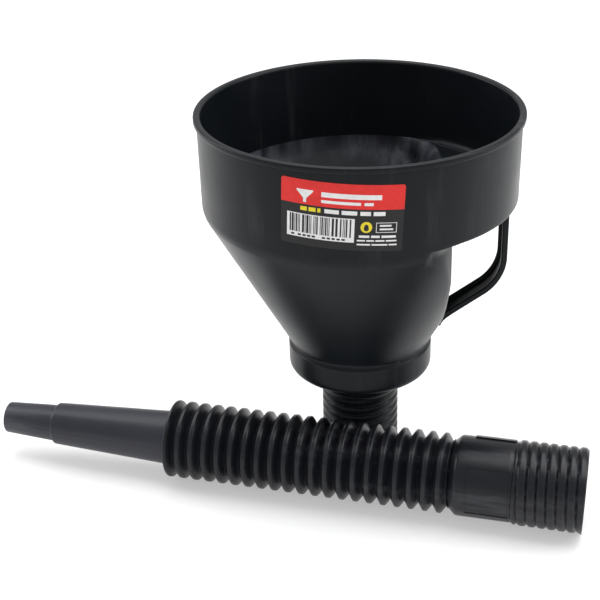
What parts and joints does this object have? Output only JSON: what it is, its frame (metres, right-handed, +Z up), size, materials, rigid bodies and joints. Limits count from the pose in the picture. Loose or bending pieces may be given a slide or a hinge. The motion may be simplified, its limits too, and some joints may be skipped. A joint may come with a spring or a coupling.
{
  "type": "funnel",
  "caption": "Round fuel funnel with a strap handle and lift-out strainer, standing beside its screw-on flexible bellows spout with a tapered nozzle.",
  "frame": {"origin": "bottom centre of the whole object's bounding box, on the surface that it stands and lies on", "axes": "+Z up along the funnel's axis; +X along the spout from its nozzle to its screw coupling; the spout lies on the -Y side, and the handle points 15 degrees from +X towards +Y"},
  "size_m": [0.31, 0.16, 0.196],
  "materials": {
    "body_plastic": "black polyethylene, satin moulded skin",
    "spout_plastic": "black blow-moulded polyethylene, satin",
    "label_film": "printed self-adhesive film",
    "ring_plastic": "moulded, fine grain",
    "brass_gauze": "woven wire"
  },
  "bodies": {
    "funnel": {"funnel_body": "body_plastic", "handle": "body_plastic", "label": "label_film"},
    "strainer": {"strainer_ring": "ring_plastic", "strainer_gauze": "brass_gauze"},
    "coupling": {"screw_coupling": "spout_plastic", "bellows_fold_01": "spout_plastic"},
    "ring_01": {"bellows_ring_01": "spout_plastic", "bellows_fold_02": "spout_plastic"},
    "ring_02": {"bellows_ring_02": "spout_plastic", "bellows_fold_03": "spout_plastic"},
    "ring_03": {"bellows_ring_03": "spout_plastic", "bellows_fold_04": "spout_plastic"},
    "ring_04": {"bellows_ring_04": "spout_plastic", "bellows_fold_05": "spout_plastic"},
    "ring_05": {"bellows_ring_05": "spout_plastic", "bellows_fold_06": "spout_plastic"},
    "ring_06": {"bellows_ring_06": "spout_plastic", "bellows_fold_07": "spout_plastic"},
    "ring_07": {"bellows_ring_07": "spout_plastic", "bellows_fold_08": "spout_plastic"},
    "ring_08": {"bellows_ring_08": "spout_plastic", "bellows_fold_09": "spout_plastic"},
    "ring_09": {"bellows_ring_09": "spout_plastic", "bellows_fold_10": "spout_plastic"},
    "ring_10": {"bellows_ring_10": "spout_plastic", "bellows_fold_11": "spout_plastic"},
    "ring_11": {"bellows_ring_11": "spout_plastic", "bellows_fold_12": "spout_plastic"},
    "ring_12": {"bellows_ring_12": "spout_plastic", "bellows_fold_13": "spout_plastic"},
    "ring_13": {"bellows_ring_13": "spout_plastic", "bellows_fold_14": "spout_plastic"},
    "ring_14": {"bellows_ring_14": "spout_plastic", "bellows_fold_15": "spout_plastic"},
    "ring_15": {"bellows_ring_15": "spout_plastic", "bellows_fold_16": "spout_plastic"},
    "ring_16": {"bellows_ring_16": "spout_plastic", "bellows_fold_17": "spout_plastic"},
    "ring_17": {"bellows_ring_17": "spout_plastic", "bellows_fold_18": "spout_plastic"},
    "ring_18": {"bellows_ring_18": "spout_plastic", "bellows_fold_19": "spout_plastic"},
    "ring_19": {"bellows_ring_19": "spout_plastic", "bellows_fold_20": "spout_plastic"},
    "ring_20": {"bellows_ring_20": "spout_plastic", "bellows_fold_21": "spout_plastic"},
    "ring_21": {"bellows_ring_21": "spout_plastic", "bellows_fold_22": "spout_plastic"},
    "nozzle": {"pouring_nozzle": "spout_plastic"}
  },
  "joints": [
    {"name": "strainer_lift", "type": "slide", "parent": "funnel", "child": "strainer", "axis": [0, 0, 1], "range_m": [0, 0.15]},
    {"name": "spout_slide", "type": "slide", "parent": "funnel", "child": "coupling", "axis": [0, -1, 0], "range_m": [0, 0.15]},
    {"name": "bend_sideways_01", "type": "hinge", "parent": "coupling", "child": "ring_01", "pos_m": [0.088, -0.0431, 0.0212], "axis": [0, 0, 1], "range_deg": [0, 8], "stiffness_Nm_per_rad": 18, "deforming": ["bellows_fold_01"]},
    {"name": "bend_upward_01", "type": "hinge", "parent": "ring_01", "child": "ring_02", "pos_m": [0.08085, -0.0431, 0.0212], "axis": [0, 1, 0], "range_deg": [0, 4], "stiffness_Nm_per_rad": 18, "deforming": ["bellows_fold_02"]},
    {"name": "bend_sideways_02", "type": "hinge", "parent": "ring_02", "child": "ring_03", "pos_m": [0.0737, -0.0431, 0.0212], "axis": [0, 0, 1], "range_deg": [0, 8], "deforming": ["bellows_fold_03"]},
    {"name": "bend_upward_02", "type": "hinge", "parent": "ring_03", "child": "ring_04", "pos_m": [0.06655, -0.0431, 0.0212], "axis": [0, 1, 0], "range_deg": [0, 4], "deforming": ["bellows_fold_04"]},
    {"name": "bend_sideways_03", "type": "hinge", "parent": "ring_04", "child": "ring_05", "pos_m": [0.0594, -0.0431, 0.0212], "axis": [0, 0, 1], "range_deg": [0, 8], "deforming": ["bellows_fold_05"]},
    {"name": "bend_upward_03", "type": "hinge", "parent": "ring_05", "child": "ring_06", "pos_m": [0.05225, -0.0431, 0.0212], "axis": [0, 1, 0], "range_deg": [0, 4], "deforming": ["bellows_fold_06"]},
    {"name": "bend_sideways_04", "type": "hinge", "parent": "ring_06", "child": "ring_07", "pos_m": [0.0451, -0.0431, 0.0212], "axis": [0, 0, 1], "range_deg": [0, 8], "deforming": ["bellows_fold_07"]},
    {"name": "bend_upward_04", "type": "hinge", "parent": "ring_07", "child": "ring_08", "pos_m": [0.03795, -0.0431, 0.0212], "axis": [0, 1, 0], "range_deg": [0, 4], "deforming": ["bellows_fold_08"]},
    {"name": "bend_sideways_05", "type": "hinge", "parent": "ring_08", "child": "ring_09", "pos_m": [0.0308, -0.0431, 0.0212], "axis": [0, 0, 1], "range_deg": [0, 8], "deforming": ["bellows_fold_09"]},
    {"name": "bend_upward_05", "type": "hinge", "parent": "ring_09", "child": "ring_10", "pos_m": [0.02365, -0.0431, 0.0212], "axis": [0, 1, 0], "range_deg": [0, 4], "deforming": ["bellows_fold_10"]},
    {"name": "bend_sideways_06", "type": "hinge", "parent": "ring_10", "child": "ring_11", "pos_m": [0.0165, -0.0431, 0.0212], "axis": [0, 0, 1], "range_deg": [0, 8], "deforming": ["bellows_fold_11"]},
    {"name": "bend_upward_06", "type": "hinge", "parent": "ring_11", "child": "ring_12", "pos_m": [0.00935, -0.0431, 0.0212], "axis": [0, 1, 0], "range_deg": [0, 4], "deforming": ["bellows_fold_12"]},
    {"name": "bend_sideways_07", "type": "hinge", "parent": "ring_12", "child": "ring_13", "pos_m": [0.0022, -0.0431, 0.0212], "axis": [0, 0, 1], "range_deg": [0, 8], "deforming": ["bellows_fold_13"]},
    {"name": "bend_upward_07", "type": "hinge", "parent": "ring_13", "child": "ring_14", "pos_m": [-0.00495, -0.0431, 0.0212], "axis": [0, 1, 0], "range_deg": [0, 4], "deforming": ["bellows_fold_14"]},
    {"name": "bend_sideways_08", "type": "hinge", "parent": "ring_14", "child": "ring_15", "pos_m": [-0.0121, -0.0431, 0.0212], "axis": [0, 0, 1], "range_deg": [0, 8], "deforming": ["bellows_fold_15"]},
    {"name": "bend_upward_08", "type": "hinge", "parent": "ring_15", "child": "ring_16", "pos_m": [-0.01925, -0.0431, 0.0212], "axis": [0, 1, 0], "range_deg": [0, 4], "deforming": ["bellows_fold_16"]},
    {"name": "bend_sideways_09", "type": "hinge", "parent": "ring_16", "child": "ring_17", "pos_m": [-0.0264, -0.0431, 0.0212], "axis": [0, 0, 1], "range_deg": [0, 8], "deforming": ["bellows_fold_17"]},
    {"name": "bend_upward_09", "type": "hinge", "parent": "ring_17", "child": "ring_18", "pos_m": [-0.03355, -0.0431, 0.0212], "axis": [0, 1, 0], "range_deg": [0, 4], "deforming": ["bellows_fold_18"]},
    {"name": "bend_sideways_10", "type": "hinge", "parent": "ring_18", "child": "ring_19", "pos_m": [-0.0407, -0.0431, 0.0212], "axis": [0, 0, 1], "range_deg": [0, 8], "deforming": ["bellows_fold_19"]},
    {"name": "bend_upward_10", "type": "hinge", "parent": "ring_19", "child": "ring_20", "pos_m": [-0.04785, -0.0431, 0.0212], "axis": [0, 1, 0], "range_deg": [0, 4], "deforming": ["bellows_fold_20"]},
    {"name": "bend_sideways_11", "type": "hinge", "parent": "ring_20", "child": "ring_21", "pos_m": [-0.055, -0.0431, 0.0212], "axis": [0, 0, 1], "range_deg": [0, 8], "deforming": ["bellows_fold_21"]},
    {"name": "bend_upward_11", "type": "hinge", "parent": "ring_21", "child": "nozzle", "pos_m": [-0.06215, -0.0431, 0.0212], "axis": [0, 1, 0], "range_deg": [0, 4], "deforming": ["bellows_fold_22"]}
  ],
  "couplings": [
    {"joint": "bend_sideways_02", "follows": "bend_sideways_01", "ratio": 1},
    {"joint": "bend_upward_02", "follows": "bend_upward_01", "ratio": 1},
    {"joint": "bend_sideways_03", "follows": "bend_sideways_01", "ratio": 1},
    {"joint": "bend_upward_03", "follows": "bend_upward_01", "ratio": 1},
    {"joint": "bend_sideways_04", "follows": "bend_sideways_01", "ratio": 1},
    {"joint": "bend_upward_04", "follows": "bend_upward_01", "ratio": 1},
    {"joint": "bend_sideways_05", "follows": "bend_sideways_01", "ratio": 1},
    {"joint": "bend_upward_05", "follows": "bend_upward_01", "ratio": 1},
    {"joint": "bend_sideways_06", "follows": "bend_sideways_01", "ratio": 1},
    {"joint": "bend_upward_06", "follows": "bend_upward_01", "ratio": 1},
    {"joint": "bend_sideways_07", "follows": "bend_sideways_01", "ratio": 1},
    {"joint": "bend_upward_07", "follows": "bend_upward_01", "ratio": 1},
    {"joint": "bend_sideways_08", "follows": "bend_sideways_01", "ratio": 1},
    {"joint": "bend_upward_08", "follows": "bend_upward_01", "ratio": 1},
    {"joint": "bend_sideways_09", "follows": "bend_sideways_01", "ratio": 1},
    {"joint": "bend_upward_09", "follows": "bend_upward_01", "ratio": 1},
    {"joint": "bend_sideways_10", "follows": "bend_sideways_01", "ratio": 1},
    {"joint": "bend_upward_10", "follows": "bend_upward_01", "ratio": 1},
    {"joint": "bend_sideways_11", "follows": "bend_sideways_01", "ratio": 1},
    {"joint": "bend_upward_11", "follows": "bend_upward_01", "ratio": 1}
  ]
}
